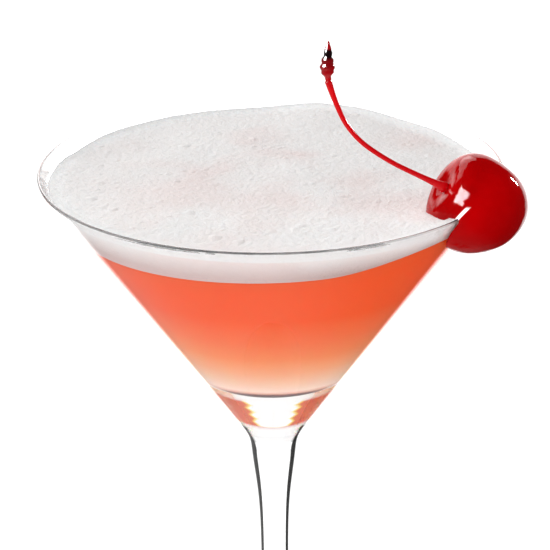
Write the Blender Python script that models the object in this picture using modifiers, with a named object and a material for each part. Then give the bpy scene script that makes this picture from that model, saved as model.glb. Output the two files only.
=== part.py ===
"""A pink lady cocktail in its stemmed cocktail glass, with a cherry slit onto the rim.

The origin is the centre of the foot's underside and +Z runs up the stem. Lengths are in metres.
"""

from math import atan, cos, exp, hypot, pi, radians, sin, tan

import bpy
from mathutils import Matrix, Vector

MM = 0.001
GAP = 0.3 * MM  # clearance between pieces that touch
ROUND_STEPS = 64
MERGE = 0.001 * MM
SHARP_ANGLE = radians(40)

# Glass
GLASS_HEIGHT = 175 * MM
CONE_RADIUS = 52.9 * MM  # the outer wall's line carried up to the rim's height
CONE_HALF_ANGLE = radians(36.1)  # outer wall, from the stem's axis
WALL_AT_RIM = 1.45 * MM
WALL_GROWTH = 0.0098  # metres of wall gained for each metre down the bowl
LIP_THINNING = 0.6 * MM  # the wall is drawn thinner at the rim, over this much height
LIP_HEIGHT = 1.8 * MM
LIP_ROWS = tuple(depth * MM for depth in (4, 2.4, 1.6, 0.9))
FLOOR_RADIUS = 31 * MM  # the bowl's inside ends in part of a ball
FLOOR_STEPS = 6
BEAD_STEPS = 4
STEM_RADIUS = 3.2 * MM
TIP_SWELL = 2.7 * MM  # what the drawn tip adds to the stem, half gone at TIP_DEPTH below the rim
TIP_DEPTH = 74 * MM
TIP_FADE = 5 * MM
TIP_CORNER = 8  # higher makes a tighter corner between bowl and stem
WALL_END = 53 * MM  # the outer wall is straight down to here
FLARE_TOP = 58 * MM
FLARE_END = 100 * MM
FLARE_STEPS = 13
FLARE_CROWDING = 1.4  # above 1 draws the steps together at the top
FOOT_RADIUS = 37 * MM
FOOT_EDGE = 1.8 * MM
FOOT_RISE = 0.55 * MM
FOOT_STEEPNESS = 1.35
FOOT_STEPS = 9
FOOT_ROUNDING = 0.4 * FOOT_EDGE

# Levels, as depths below the rim
FOAM_DEPTH = 2.4 * MM
DRINK_DEPTH = 9.2 * MM
DRINK_SLOPE = 0.03  # the foam thins gently towards +X
THIN_FOAM_FROM = 10 * MM
THIN_FOAM_LIFT = 3.4 * MM  # past there the drink stands up to this much higher
THIN_FOAM_WIDTH = 18 * MM
FOAM_MOUNDS = (  # x, y, height and width of each soft mound or hollow, in millimetres
    (14, 44, 1.3, 13),
    (44, 18, -0.5, 9),
    (-38, 20, -0.6, 12),
    (-20, -12, 0.5, 11),
    (8, 4, 0.7, 14),
    (-6, 26, 0.4, 9),
    (24, -16, -0.4, 8),
    (-30, -28, 0.3, 9),
    (36, -30, 1.7, 8),
)
LEVEL_PASSES = 4  # settles a point on the wall and on its level at once

# Cherry
CHERRY_RADIUS = 11.5 * MM
CHERRY_SQUASH = 0.94  # length along its own axis over width
CHERRY_AZIMUTH = radians(-28.5)
CHERRY_OUT = 51.0 * MM  # its centre from the stem's axis
CHERRY_DEPTH = 0.1 * MM  # its centre below the rim
CHERRY_AXIS = Vector((-0.83, -0.17, 0.53)).normalized()
DIMPLE_DEPTH = 2.6 * MM
DIMPLE_WIDTH = radians(26)
SHOULDER = 0.05  # fullness between the dimple and the middle
BALL_STEPS = 18
BALL_SIDES = 36
CHERRY_LUMPS = (  # direction, height as a share of the radius, and width in degrees
    ((0.57, 0.30, 0.76), -0.11, 26),
    ((0.98, 0.06, -0.16), 0.035, 20),
    ((0.10, -0.36, -0.93), -0.06, 34),
    ((-0.90, -0.10, -0.43), 0.03, 24),
)
SLIT_ABOVE = 3.6 * MM  # its top closes to an edge here
SLIT_SHOULDER = -0.3 * MM
SLIT_NECK = 0.4 * MM  # the height and half width that it narrows to first
SLIT_NECK_WIDTH = 0.35 * MM
SLIT_ROWS = tuple(depth * MM for depth in (3, 1.5))
SLIT_BELOW = 18 * MM

# Cherry stem: points from the rim's centre in millimetres, from the cherry to the tip
STEM_ROUTE = (
    (31.4, -24.6, 7.3),
    (27.4, -23.8, 9.1),
    (23.8, -23.1, 11.1),
    (20.4, -22.7, 13.5),
    (17.9, -22.4, 16.0),
    (16.0, -22.1, 18.7),
    (14.5, -21.9, 22.0),
    (13.4, -21.6, 24.9),
    (12.6, -21.3, 27.8),
    (12.4, -20.8, 31.5),
    (12.7, -20.3, 36.3),
)
WIRE_RADIUS = 0.55 * MM
BASE_FLARE = 0.75 * MM
BASE_FADE = 2.2 * MM
KNOB_LENGTH = 8.6 * MM
KNOB_RADIUS = 1.7 * MM
KNOB_RIDGES = 4
RIDGE_HEIGHT = 0.16 * MM
NECK_FLARE = 0.6  # of the wire's radius, gained on the way to the knob
NECK_FADE = 3
KNOB_WIDEST = 0.41  # as shares of the knob's length
KNOB_START = 0.18
KNOB_TAPER_FROM = 0.3
KNOB_TAPER = 0.5
TIP_FROM = 0.7
TIP_RADIUS = 0.95 * MM
TIP_LENGTH = 0.34
STEM_SEAT = 0.8 * MM  # height of the flared base over the bottom of the dimple


def outer_radius(z):
    """Outside of the bowl's wall, as a straight line."""
    return CONE_RADIUS - (GLASS_HEIGHT - z) * tan(CONE_HALF_ANGLE)


def inner_radius(z):
    """Inside of the bowl's wall: a straight line, but for the thinner lip."""
    down = max(GLASS_HEIGHT - z, 0)
    wall = WALL_AT_RIM + WALL_GROWTH * down - LIP_THINNING * exp(-((down / LIP_HEIGHT) ** 2))
    return outer_radius(z) - wall / cos(CONE_HALF_ANGLE)


INNER_SLOPE = tan(CONE_HALF_ANGLE) + WALL_GROWTH / cos(CONE_HALF_ANGLE)
INNER_APEX = -inner_radius(0) / INNER_SLOPE
INNER_HALF_ANGLE = atan(INNER_SLOPE)


def floor_arc(shrink, steps):
    """Ball-shaped floor from the axis to where it meets the wall, moved inwards by shrink."""
    radius = FLOOR_RADIUS - shrink
    centre = INNER_APEX + FLOOR_RADIUS / sin(INNER_HALF_ANGLE)
    turn = pi / 2 - INNER_HALF_ANGLE
    angles = [turn * i / steps for i in range(steps + 1)]
    return [(radius * sin(a), centre - radius * cos(a)) for a in angles]


def foam_level(x, y):
    """Top of the foam."""
    height = GLASS_HEIGHT - FOAM_DEPTH
    for at_x, at_y, rise, width in FOAM_MOUNDS:
        away = hypot(x / MM - at_x, y / MM - at_y) / width
        height += rise * MM * exp(-(away**2))
    return height


def drink_level(x, y):
    """Bottom of the foam, which thins on the cherry's side."""
    past = max(x - THIN_FOAM_FROM, 0) / THIN_FOAM_WIDTH
    lift = THIN_FOAM_LIFT * (1 - exp(-(past**2)))
    return GLASS_HEIGHT - DRINK_DEPTH + DRINK_SLOPE * x + lift


def stem_flare(depth):
    """Radius of the bowl's tip as it runs into the stem."""
    cone = max(outer_radius(GLASS_HEIGHT - depth), 0)
    stem = STEM_RADIUS + TIP_SWELL / (1 + exp((depth - TIP_DEPTH) / TIP_FADE))
    return (cone**TIP_CORNER + stem**TIP_CORNER) ** (1 / TIP_CORNER)


def foot_height(radius):
    """Top of the foot, from its thin edge up to the stem."""
    return FOOT_EDGE + FOOT_RISE * (FOOT_RADIUS / radius - 1) ** FOOT_STEEPNESS


def glass_profile():
    """From the floor of the bowl over the rim and down the outside to the foot's centre."""
    points = floor_arc(0, FLOOR_STEPS)
    for depth in LIP_ROWS:
        points.append((inner_radius(GLASS_HEIGHT - depth), GLASS_HEIGHT - depth))
    height = GLASS_HEIGHT - (WALL_AT_RIM - LIP_THINNING) / 2
    middle = (outer_radius(height) + inner_radius(height)) / 2
    bead = (outer_radius(height) - middle) * cos(CONE_HALF_ANGLE)
    for i in range(BEAD_STEPS + 1):
        turn = pi * (1 - i / BEAD_STEPS) - CONE_HALF_ANGLE
        points.append((middle + bead * cos(turn), height + bead * sin(turn)))
    points.append((outer_radius(GLASS_HEIGHT - WALL_END), GLASS_HEIGHT - WALL_END))
    for i in range(FLARE_STEPS + 1):
        depth = FLARE_TOP + (FLARE_END - FLARE_TOP) * (i / FLARE_STEPS) ** FLARE_CROWDING
        points.append((stem_flare(depth), GLASS_HEIGHT - depth))
    for i in range(FOOT_STEPS + 1):
        radius = STEM_RADIUS * (FOOT_RADIUS / STEM_RADIUS) ** (i / FOOT_STEPS)
        points.append((radius, foot_height(radius)))
    points.append((FOOT_RADIUS, FOOT_ROUNDING))
    points.append((FOOT_RADIUS - FOOT_ROUNDING, 0))
    points.append((0, 0))
    return points


def new_object(name, data, collection):
    made = bpy.data.objects.new(name, data)
    collection.objects.link(made)
    return made


def turned(name, profile, collection, steps=ROUND_STEPS, closed=False):
    """An object turned from (radius, height) points by a Screw modifier."""
    mesh = bpy.data.meshes.new(name)
    points = [(radius, 0, height) for radius, height in profile]
    edges = [(i, i + 1) for i in range(len(points) - 1)]
    if closed:
        edges.append((len(points) - 1, 0))
    mesh.from_pydata(points, edges, [])
    made = new_object(name, mesh, collection)
    screw = made.modifiers.new("Turn", "SCREW")
    screw.steps = screw.render_steps = steps
    screw.use_merge_vertices = True
    screw.merge_threshold = MERGE
    return made


def solidified(made):
    """Keeps the evaluated mesh as the object's own, so that its points can be moved."""
    graph = bpy.context.evaluated_depsgraph_get()
    mesh = bpy.data.meshes.new_from_object(made.evaluated_get(graph))
    mesh.name = made.name
    made.modifiers.clear()
    made.data = mesh
    return made


def cut(made, cutter):
    boolean = made.modifiers.new("Cut " + cutter.name, "BOOLEAN")
    boolean.operation = "DIFFERENCE"
    boolean.solver = "EXACT"
    boolean.object = cutter


def hide_cutter(cutter):
    cutter.hide_render = True
    cutter.display_type = "WIRE"


def finish(made, name, colour, roughness, transmission=0):
    """Smooth shading and the piece's own material."""
    material = bpy.data.materials.new(name)
    material.use_nodes = True
    shader = material.node_tree.nodes["Principled BSDF"]
    shader.inputs["Base Color"].default_value = (*colour, 1)
    shader.inputs["Roughness"].default_value = roughness
    shader.inputs["Metallic"].default_value = 0
    shader.inputs["Transmission Weight"].default_value = transmission
    made.data.materials.clear()
    made.data.materials.append(material)
    if made.type == "MESH" and made.data.polygons:
        made.data.shade_smooth()
        made.data.set_sharp_from_angle(angle=SHARP_ANGLE)


def follow_levels(made, top, bottom, split):
    """Moves a flat disc's points above split to top(x, y), and the others to bottom(x, y).

    A point keeps its share of the way out to the bowl's wall, so the edge stays on the wall.
    """
    for vertex in made.data.vertices:
        x, y, z = vertex.co
        level = top if z > split else bottom
        if level is None:
            continue
        share = hypot(x, y) / (inner_radius(z) - GAP / cos(INNER_HALF_ANGLE))
        direction = Vector((x, y, 0)).normalized()
        place = vertex.co.copy()
        for _ in range(LEVEL_PASSES):
            place.z = level(place.x, place.y)
            reach = inner_radius(place.z) - GAP / cos(INNER_HALF_ANGLE)
            place.xy = (direction * share * reach).xy
        vertex.co = place


def disc_rings(height, count):
    """Profile points along a flat disc, from the axis to the bowl's wall."""
    reach = inner_radius(height) - GAP / cos(INNER_HALF_ANGLE)
    return [(reach * i / count, height) for i in range(count + 1)]


def make_glass(collection):
    glass = turned("glass", glass_profile(), collection)
    finish(glass, "clear_glass", (1, 1, 1), 0.02, 1)


def make_drink(collection, cherry_room):
    height = GLASS_HEIGHT - DRINK_DEPTH - GAP
    profile = disc_rings(height, 5) + floor_arc(GAP, 5)[::-1]
    drink = solidified(turned("drink", profile, collection))
    follow_levels(drink, lambda x, y: drink_level(x, y) - GAP, None, height - GAP)
    cut(drink, cherry_room)
    finish(drink, "coral_drink", (0.82, 0.15, 0.07), 0.1)


def make_foam(collection, cherry_room):
    top = GLASS_HEIGHT - FOAM_DEPTH
    bottom = GLASS_HEIGHT - DRINK_DEPTH
    profile = disc_rings(top, 9) + disc_rings(bottom, 4)[::-1]
    foam = solidified(turned("foam", profile, collection))
    follow_levels(foam, foam_level, drink_level, (top + bottom) / 2)
    cut(foam, cherry_room)
    finish(foam, "egg_white_foam", (0.87, 0.83, 0.82), 0.6)


def cherry_profile(grow):
    """A ball pressed in at the stem, from its top to its bottom along the cherry's axis."""
    points = []
    for i in range(BALL_STEPS + 1):
        angle = pi * i / BALL_STEPS
        dimple = DIMPLE_DEPTH * exp(-((angle / DIMPLE_WIDTH) ** 2))
        shoulder = 1 + SHOULDER * sin(angle) * cos(angle)
        radius = CHERRY_RADIUS * shoulder - dimple + grow
        points.append((radius * sin(angle), radius * cos(angle) * CHERRY_SQUASH))
    points[0] = (0, points[0][1])
    points[-1] = (0, points[-1][1])
    return points


def cherry_centre():
    return Vector(
        (
            CHERRY_OUT * cos(CHERRY_AZIMUTH),
            CHERRY_OUT * sin(CHERRY_AZIMUTH),
            GLASS_HEIGHT - CHERRY_DEPTH,
        )
    )


def cherry_ball(name, grow, collection):
    """The whole fruit on the rim, uneven as real ones are, with its skin moved out by grow."""
    ball = solidified(turned(name, cherry_profile(grow), collection, steps=BALL_SIDES))
    turn = CHERRY_AXIS.to_track_quat("Z", "Y").to_matrix()
    for vertex in ball.data.vertices:
        out = turn @ vertex.co
        lumps = [
            rise * exp(-((out.angle(Vector(toward)) / radians(width)) ** 2))
            for toward, rise, width in CHERRY_LUMPS
        ]
        vertex.co *= 1 + sum(lumps)
    ball.matrix_world = Matrix.Translation(cherry_centre()) @ turn.to_4x4()
    return ball


def slit_profile():
    """Cross-section of the bowl's wall grown by the gap, and closing to an edge above the rim."""
    room = GAP / cos(CONE_HALF_ANGLE)
    top = GLASS_HEIGHT + SLIT_ABOVE
    neck = GLASS_HEIGHT + SLIT_NECK
    neck_middle = (outer_radius(neck) + inner_radius(neck)) / 2
    shoulder = GLASS_HEIGHT + SLIT_SHOULDER
    bottom = GLASS_HEIGHT - SLIT_BELOW
    return [
        ((outer_radius(top) + inner_radius(top)) / 2, top),
        (neck_middle + SLIT_NECK_WIDTH, neck),
        (outer_radius(shoulder) + room, shoulder),
        (outer_radius(bottom) + room, bottom),
        (inner_radius(bottom) - room, bottom),
        *[(inner_radius(GLASS_HEIGHT - row) - room, GLASS_HEIGHT - row) for row in SLIT_ROWS],
        (inner_radius(shoulder) - room, shoulder),
        (neck_middle - SLIT_NECK_WIDTH, neck),
    ]


def make_cherry(collection, cutters):
    cherry = cherry_ball("cherry", 0, collection)
    slit = turned("cherry_slit", slit_profile(), cutters, closed=True)
    hide_cutter(slit)
    cut(cherry, slit)
    finish(cherry, "candied_cherry", (0.5, 0.0, 0.005), 0.15)
    room = cherry_ball("cherry_room", GAP, cutters)
    hide_cutter(room)
    return room


def stem_radius_at(along, length):
    """Radius of the cherry's stem: flared at the cherry, ridged and pointed at the knob."""
    radius = WIRE_RADIUS + BASE_FLARE * exp(-along / BASE_FADE)
    into_knob = (along - (length - KNOB_LENGTH)) / KNOB_LENGTH
    if into_knob < 0:
        return radius + WIRE_RADIUS * NECK_FLARE * exp(into_knob * NECK_FADE)
    if into_knob > TIP_FROM:
        return TIP_RADIUS * (1 - (into_knob - TIP_FROM) / TIP_LENGTH)
    rise = KNOB_START + (1 - KNOB_START) * min(into_knob / KNOB_WIDEST, 1)
    taper = 1 - KNOB_TAPER * max(into_knob - KNOB_TAPER_FROM, 0) / (TIP_FROM - KNOB_TAPER_FROM)
    ridge = RIDGE_HEIGHT * cos(2 * pi * KNOB_RIDGES * into_knob / TIP_FROM)
    return KNOB_RADIUS * sin(pi / 2 * rise) * taper + ridge


def make_stem(collection):
    start = cherry_centre() + CHERRY_AXIS * (
        (CHERRY_RADIUS - DIMPLE_DEPTH) * CHERRY_SQUASH + STEM_SEAT
    )
    rim_centre = Vector((0, 0, GLASS_HEIGHT))
    knots = [start, start + CHERRY_AXIS * 1.0 * MM]
    knots += [rim_centre + Vector(point) * MM for point in STEM_ROUTE]
    route = smooth_route(knots, 4)
    lengths = [0]
    for before, after in zip(route, route[1:]):
        lengths.append(lengths[-1] + (after - before).length)
    curve = bpy.data.curves.new("cherry_stem", "CURVE")
    curve.dimensions = "3D"
    curve.bevel_depth = 1
    curve.bevel_resolution = 3
    curve.use_fill_caps = True
    spline = curve.splines.new("POLY")
    spline.points.add(len(route) - 1)
    for point, place, along in zip(spline.points, route, lengths):
        point.co = (*place, 1)
        point.radius = stem_radius_at(along, lengths[-1])
    spline.use_smooth = True
    stem = new_object("cherry_stem", curve, collection)
    finish(stem, "candied_stem", (0.32, 0.0, 0.01), 0.2)


def smooth_route(knots, steps):
    """Points of a Catmull-Rom curve through the knots."""
    ends = [knots[0] * 2 - knots[1], *knots, knots[-1] * 2 - knots[-2]]
    route = [knots[0]]
    for a, b, c, d in zip(ends, ends[1:], ends[2:], ends[3:]):
        for i in range(1, steps + 1):
            t = i / steps
            route.append(
                b
                + (c - a) * (t / 2)
                + (a * 2 - b * 5 + c * 4 - d) * (t * t / 2)
                + (b * 3 - a - c * 3 + d) * (t**3 / 2)
            )
    return route


def main():
    for old in list(bpy.data.objects):
        bpy.data.objects.remove(old, do_unlink=True)
    scene = bpy.context.scene.collection
    parts = bpy.data.collections.new("pink_lady_cocktail")
    cutters = bpy.data.collections.new("cutters")
    scene.children.link(parts)
    scene.children.link(cutters)
    make_glass(parts)
    cherry_room = make_cherry(parts, cutters)
    make_drink(parts, cherry_room)
    make_foam(parts, cherry_room)
    make_stem(parts)


main()
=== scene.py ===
from math import atan, cos, exp, hypot, pi, radians, sin, tan
from random import Random

import bpy
from mathutils import Matrix, Vector, kdtree, noise


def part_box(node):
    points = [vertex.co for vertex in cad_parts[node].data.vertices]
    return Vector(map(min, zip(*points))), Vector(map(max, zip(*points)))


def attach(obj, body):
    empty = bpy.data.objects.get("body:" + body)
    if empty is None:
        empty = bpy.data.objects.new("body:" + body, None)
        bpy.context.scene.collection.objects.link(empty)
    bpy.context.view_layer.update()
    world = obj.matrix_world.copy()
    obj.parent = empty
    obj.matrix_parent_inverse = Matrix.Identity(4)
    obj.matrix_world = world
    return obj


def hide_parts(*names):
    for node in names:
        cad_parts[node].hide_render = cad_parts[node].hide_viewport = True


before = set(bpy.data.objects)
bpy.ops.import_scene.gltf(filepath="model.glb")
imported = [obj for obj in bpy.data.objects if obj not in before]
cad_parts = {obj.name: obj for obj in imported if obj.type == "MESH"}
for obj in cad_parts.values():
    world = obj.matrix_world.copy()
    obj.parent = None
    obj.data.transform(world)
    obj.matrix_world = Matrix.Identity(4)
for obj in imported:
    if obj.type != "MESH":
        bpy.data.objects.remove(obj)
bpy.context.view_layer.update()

mm = 0.001
weld = 0.002 * mm  # points nearer than this are made one
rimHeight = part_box("glass")[1].z

# The bowl's wall, which all that it holds is fitted to: two straight lines that start at the rim
wall = {
    "outerAtRim": 52.9 * mm,
    "halfAngle": radians(36.1),
    "thickness": 1.45 * mm,
    "thickening": 0.0098,  # metres for each metre down
    "lipThinning": 0.6 * mm,  # the wall is drawn thinner at the rim, over about the lip's height
    "lipHeight": 1.8 * mm,
    "floorBall": 31 * mm,
}

def outerWall(height):
    return wall["outerAtRim"] - (rimHeight - height) * tan(wall["halfAngle"])

def innerWall(height):
    down = max(rimHeight - height, 0)
    thinner = wall["lipThinning"] * exp(-((down / wall["lipHeight"]) ** 2))
    thickness = wall["thickness"] + wall["thickening"] * down - thinner
    return outerWall(height) - thickness / cos(wall["halfAngle"])

def midWall(height):
    return (outerWall(height) + innerWall(height)) / 2

innerSlope = tan(wall["halfAngle"]) + wall["thickening"] / cos(wall["halfAngle"])
innerApex = -innerWall(0) / innerSlope
innerHalfAngle = atan(innerSlope)

def floorArc(grow, steps):
    # the bowl's ball-shaped floor, from the axis out to the wall
    radius = wall["floorBall"] + grow
    centre = innerApex + wall["floorBall"] / sin(innerHalfAngle)
    turn = pi / 2 - innerHalfAngle
    angles = [turn * i / steps for i in range(steps + 1)]
    return [(radius * sin(a), centre - radius * cos(a)) for a in angles]

def pick(piece):
    bpy.ops.object.select_all(action="DESELECT")
    piece.select_set(True)
    bpy.context.view_layer.objects.active = piece

def named(name):
    piece = bpy.context.object
    piece.name = piece.data.name = name
    return piece

def applyAll(piece):
    pick(piece)
    for modifier in list(piece.modifiers):
        bpy.ops.object.modifier_apply(modifier=modifier.name)

def settle(piece):
    # the finished piece keeps its place in its mesh
    pick(piece)
    bpy.ops.object.transform_apply(location=True, rotation=True, scale=True)

def turnedPiece(name, outline, steps):
    # one point is extruded along the outline of (radius, height), then spun round the upright axis
    bpy.ops.object.select_all(action="DESELECT")
    bpy.ops.mesh.primitive_plane_add(size=mm, location=(0, 0, 0))
    piece = named(name)
    bpy.ops.object.mode_set(mode="EDIT")
    bpy.ops.mesh.select_all(action="SELECT")
    bpy.ops.mesh.merge(type="CENTER")
    bpy.ops.transform.translate(value=(outline[0][0], 0, outline[0][1]))
    for (fromRadius, fromHeight), (radius, height) in zip(outline, outline[1:]):
        step = (radius - fromRadius, 0, height - fromHeight)
        bpy.ops.mesh.extrude_region_move(TRANSFORM_OT_translate={"value": step})
    bpy.ops.mesh.select_all(action="SELECT")
    bpy.ops.mesh.spin(steps=steps, angle=2 * pi, center=(0, 0, 0), axis=(0, 0, 1))
    bpy.ops.mesh.select_all(action="SELECT")
    bpy.ops.mesh.remove_doubles(threshold=weld)
    bpy.ops.mesh.normals_make_consistent(inside=False)
    bpy.ops.object.mode_set(mode="OBJECT")
    bpy.ops.object.shade_smooth_by_angle(angle=radians(35))
    return piece

def linear(value):
    value /= 255
    return value / 12.92 if value <= 0.04045 else ((value + 0.055) / 1.055) ** 2.4

def colour(hexValue):
    # sRGB hex to the linear colour that the shaders take
    return tuple(linear(int(hexValue[i : i + 2], 16)) for i in (0, 2, 4)) + (1.0,)

def newMaterial(name):
    material = bpy.data.materials.new(name)
    material.use_nodes = True
    return material, material.node_tree, material.node_tree.nodes["Principled BSDF"]

def addNode(tree, kind, settings=None, inputs=None, stops=None):
    # one node: its settings, its inputs (fixed or other nodes' outputs) and a ramp's stops, ends first
    node = tree.nodes.new(kind)
    for key, value in (settings or {}).items():
        setattr(node, key, value)
    for key, value in (inputs or {}).items():
        if isinstance(value, bpy.types.NodeSocket):
            tree.links.new(value, node.inputs[key])
        else:
            node.inputs[key].default_value = value
    for i, (place, shade) in enumerate(stops or []):
        marks = node.color_ramp.elements
        mark = marks[i] if i < 2 else marks.new(place)
        mark.position = place
        mark.color = shade
    return node

def dress(piece, material, slotName, *nodes):
    piece.data.materials.clear()
    piece.data.materials.append(material)
    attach(piece, "root")
    if nodes:
        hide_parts(*nodes)

print("tools ready")

# The glass: bowl, solid tip, drawn stem and pressed foot in one turned piece

glassBody = {
    "roundSteps": 256,
    "floorSteps": 28,
    "beadSteps": 12,
    "lipAt": [down * mm for down in (5, 4, 3.4, 2.9, 2.5, 2.1, 1.7, 1.4, 1.1)],
    "straightTo": 53 * mm,  # depth below the rim
    "flareFrom": 58 * mm,
    "flareTo": 100 * mm,
    "flareSteps": 48,
    "flareCrowding": 1.4,  # above 1 sets them closer together at the tip
    "stemRadius": 3.2 * mm,
    "tipSwell": 2.7 * mm,  # what the drawn tip adds to the stem, half gone at tipDepth
    "tipDepth": 74 * mm,
    "tipFade": 5 * mm,
    "tipCorner": 8,  # higher keeps the bowl's wall straight for longer
    "footRadius": 37 * mm,
    "footEdge": 1.8 * mm,
    "footRise": 0.55 * mm,
    "footSteepness": 1.35,
    "footSteps": 28,
    "footRounding": 0.4,  # of the edge's height
    "roundingSteps": 4,
    "toolMark": 1.2 * mm,  # length of the marks on the tip
    "toolMarkDepth": 0.024,  # how far each bends the painted reflection's edge, as a share of Facing
}

def tipRadius(depth):
    body = glassBody
    cone = max(outerWall(rimHeight - depth), 0)
    swell = body["tipSwell"] / (1 + exp((depth - body["tipDepth"]) / body["tipFade"]))
    stem = body["stemRadius"] + swell
    return (cone ** body["tipCorner"] + stem ** body["tipCorner"]) ** (1 / body["tipCorner"])

def glassOutline():
    body = glassBody
    points = floorArc(0, body["floorSteps"])
    for down in body["lipAt"]:
        points.append((innerWall(rimHeight - down), rimHeight - down))
    height = rimHeight - (wall["thickness"] - wall["lipThinning"]) / 2
    middle = midWall(height)
    bead = (outerWall(height) - middle) * cos(wall["halfAngle"])
    for i in range(body["beadSteps"] + 1):
        turn = pi * (1 - i / body["beadSteps"]) - wall["halfAngle"]
        points.append((middle + bead * cos(turn), height + bead * sin(turn)))
    points.append((outerWall(rimHeight - body["straightTo"]), rimHeight - body["straightTo"]))
    for i in range(body["flareSteps"]):
        share = (i / (body["flareSteps"] - 1)) ** body["flareCrowding"]
        depth = body["flareFrom"] + (body["flareTo"] - body["flareFrom"]) * share
        points.append((tipRadius(depth), rimHeight - depth))
    widening = body["footRadius"] / body["stemRadius"]
    for i in range(body["footSteps"]):
        radius = body["stemRadius"] * widening ** (i / (body["footSteps"] - 1))
        rise = body["footRise"] * (body["footRadius"] / radius - 1) ** body["footSteepness"]
        points.append((radius, body["footEdge"] + rise))
    rounding = body["footEdge"] * body["footRounding"]
    for i in range(1, body["roundingSteps"] + 1):
        turn = pi / 2 * i / body["roundingSteps"]
        points.append((body["footRadius"] - rounding * (1 - cos(turn)), rounding * (1 - sin(turn))))
    points.append((0, 0))
    return points

glass = turnedPiece("glassBody", glassOutline(), glassBody["roundSteps"])

# Soda-lime glass, blown and fire-polished: clear as water, with painted dark edges on its stem and rim
# line and a painted coral reflection of the drink in its solid tip
material, tree, shader = newMaterial("sodaLimeGlass")
shader.inputs["Transmission Weight"].default_value = 1.0
shader.inputs["Roughness"].default_value = 0.0
shader.inputs["IOR"].default_value = 1.5
place = addNode(tree, "ShaderNodeTexCoord").outputs["Object"]
axes = addNode(tree, "ShaderNodeSeparateXYZ", inputs={"Vector": place})
up = addNode(
    tree,
    "ShaderNodeMapRange",
    inputs={"Value": axes.outputs["Z"], "From Max": rimHeight},
)

def shareUp(down):
    # a ramp's place for so many millimetres below the rim
    return 1 - down * mm / rimHeight

paintedEdgeZone = addNode(  # where painted dark edges go, standing in for the dark surroundings the glass refracts: on the stem, not on the foot or the bowl's wall
    tree,
    "ShaderNodeValToRGB",
    inputs={"Fac": up.outputs["Result"]},
    stops=[
        (0.0, colour("000000")),
        (1.0, colour("000000")),
        (0.07, colour("000000")),
        (0.16, colour("ffffff")),
        (shareUp(60.6), colour("ffffff")),
        (shareUp(59.8), colour("000000")),
    ],
)
facing = addNode(tree, "ShaderNodeLayerWeight", inputs={"Blend": 0.5})
onCone = addNode(  # the tip's cone leans, so its edges start at a flatter angle than the stem's
    tree,
    "ShaderNodeMapRange",
    {"interpolation_type": "SMOOTHSTEP"},
    {
        "Value": axes.outputs["Z"],
        "From Min": rimHeight - 68 * mm,
        "From Max": rimHeight - 62.5 * mm,
        "To Max": 0.28,
    },
)
fromEdge = addNode(
    tree,
    "ShaderNodeMath",
    {"operation": "SUBTRACT"},
    {0: facing.outputs["Facing"], 1: onCone.outputs["Result"]},
)
grazing = addNode(
    tree,
    "ShaderNodeMapRange",
    {"interpolation_type": "SMOOTHSTEP"},
    {"Value": fromEdge.outputs["Value"], "From Min": 0.36, "From Max": 0.47},
)
paintedStemEdge = addNode(
    tree,
    "ShaderNodeMath",
    {"operation": "MULTIPLY"},
    {0: grazing.outputs["Result"], 1: paintedEdgeZone.outputs["Color"]},
)
crown = addNode(  # a painted dark line on the top of the rim's bead, standing in for the shade the rim refracts, darkest at the front left
    tree,
    "ShaderNodeMapRange",
    inputs={
        "Value": axes.outputs["Z"],
        "From Min": rimHeight - 0.4 * mm,
        "From Max": rimHeight - 0.28 * mm,
    },
)
frontward = addNode(
    tree,
    "ShaderNodeMapRange",
    {"interpolation_type": "SMOOTHSTEP"},
    {
        "Value": axes.outputs["Y"],
        "From Min": 20 * mm,
        "From Max": -25 * mm,
        "To Min": 0.4,
        "To Max": 0.85,
    },
)
leftward = addNode(
    tree,
    "ShaderNodeMapRange",
    {"interpolation_type": "SMOOTHSTEP"},
    {"Value": axes.outputs["X"], "From Min": 40 * mm, "From Max": 2 * mm, "To Min": 0.4},
)
rimShare = addNode(
    tree,
    "ShaderNodeMath",
    {"operation": "MULTIPLY"},
    {0: frontward.outputs["Result"], 1: leftward.outputs["Result"]},
)
paintedRimLine = addNode(
    tree,
    "ShaderNodeMath",
    {"operation": "MULTIPLY"},
    {0: rimShare.outputs["Value"], 1: crown.outputs["Result"]},
)
paintedDarkEdges = addNode(
    tree,
    "ShaderNodeMath",
    {"operation": "MAXIMUM"},
    {0: paintedStemEdge.outputs["Value"], 1: paintedRimLine.outputs["Value"]},
)
tip = addNode(  # painted reflection: the solid tip's sides are coloured with the drink's coral that they mirror
    tree,
    "ShaderNodeValToRGB",
    inputs={"Fac": up.outputs["Result"]},
    stops=[
        (0.0, colour("000000")),
        (1.0, colour("000000")),
        (shareUp(59.6), colour("000000")),
        (shareUp(59.3), colour("ffffff")),
        (shareUp(50.2), colour("ffffff")),
        (shareUp(49.8), colour("000000")),
    ],
)
teeth = addNode(  # its tool marks bend the edge of the painted reflection in and out
    tree,
    "ShaderNodeMath",
    {"operation": "PINGPONG"},
    {0: axes.outputs["Z"], 1: glassBody["toolMark"]},
)
bending = glassBody["toolMarkDepth"] / glassBody["toolMark"]
jagged = addNode(
    tree,
    "ShaderNodeMath",
    {"operation": "MULTIPLY_ADD"},
    {0: teeth.outputs["Value"], 1: bending, 2: facing.outputs["Facing"]},
)
hem = addNode(  # and at the tip's foot the painted reflection reaches further in
    tree,
    "ShaderNodeValToRGB",
    inputs={"Fac": up.outputs["Result"]},
    stops=[
        (0.0, colour("404040")),
        (1.0, colour("000000")),
        (shareUp(58.95), colour("404040")),
        (shareUp(58.8), colour("000000")),
    ],
)
hemmed = addNode(
    tree,
    "ShaderNodeMath",
    {"operation": "MULTIPLY_ADD"},
    {0: hem.outputs["Color"], 1: 2.0, 2: jagged.outputs["Value"]},
)
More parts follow.
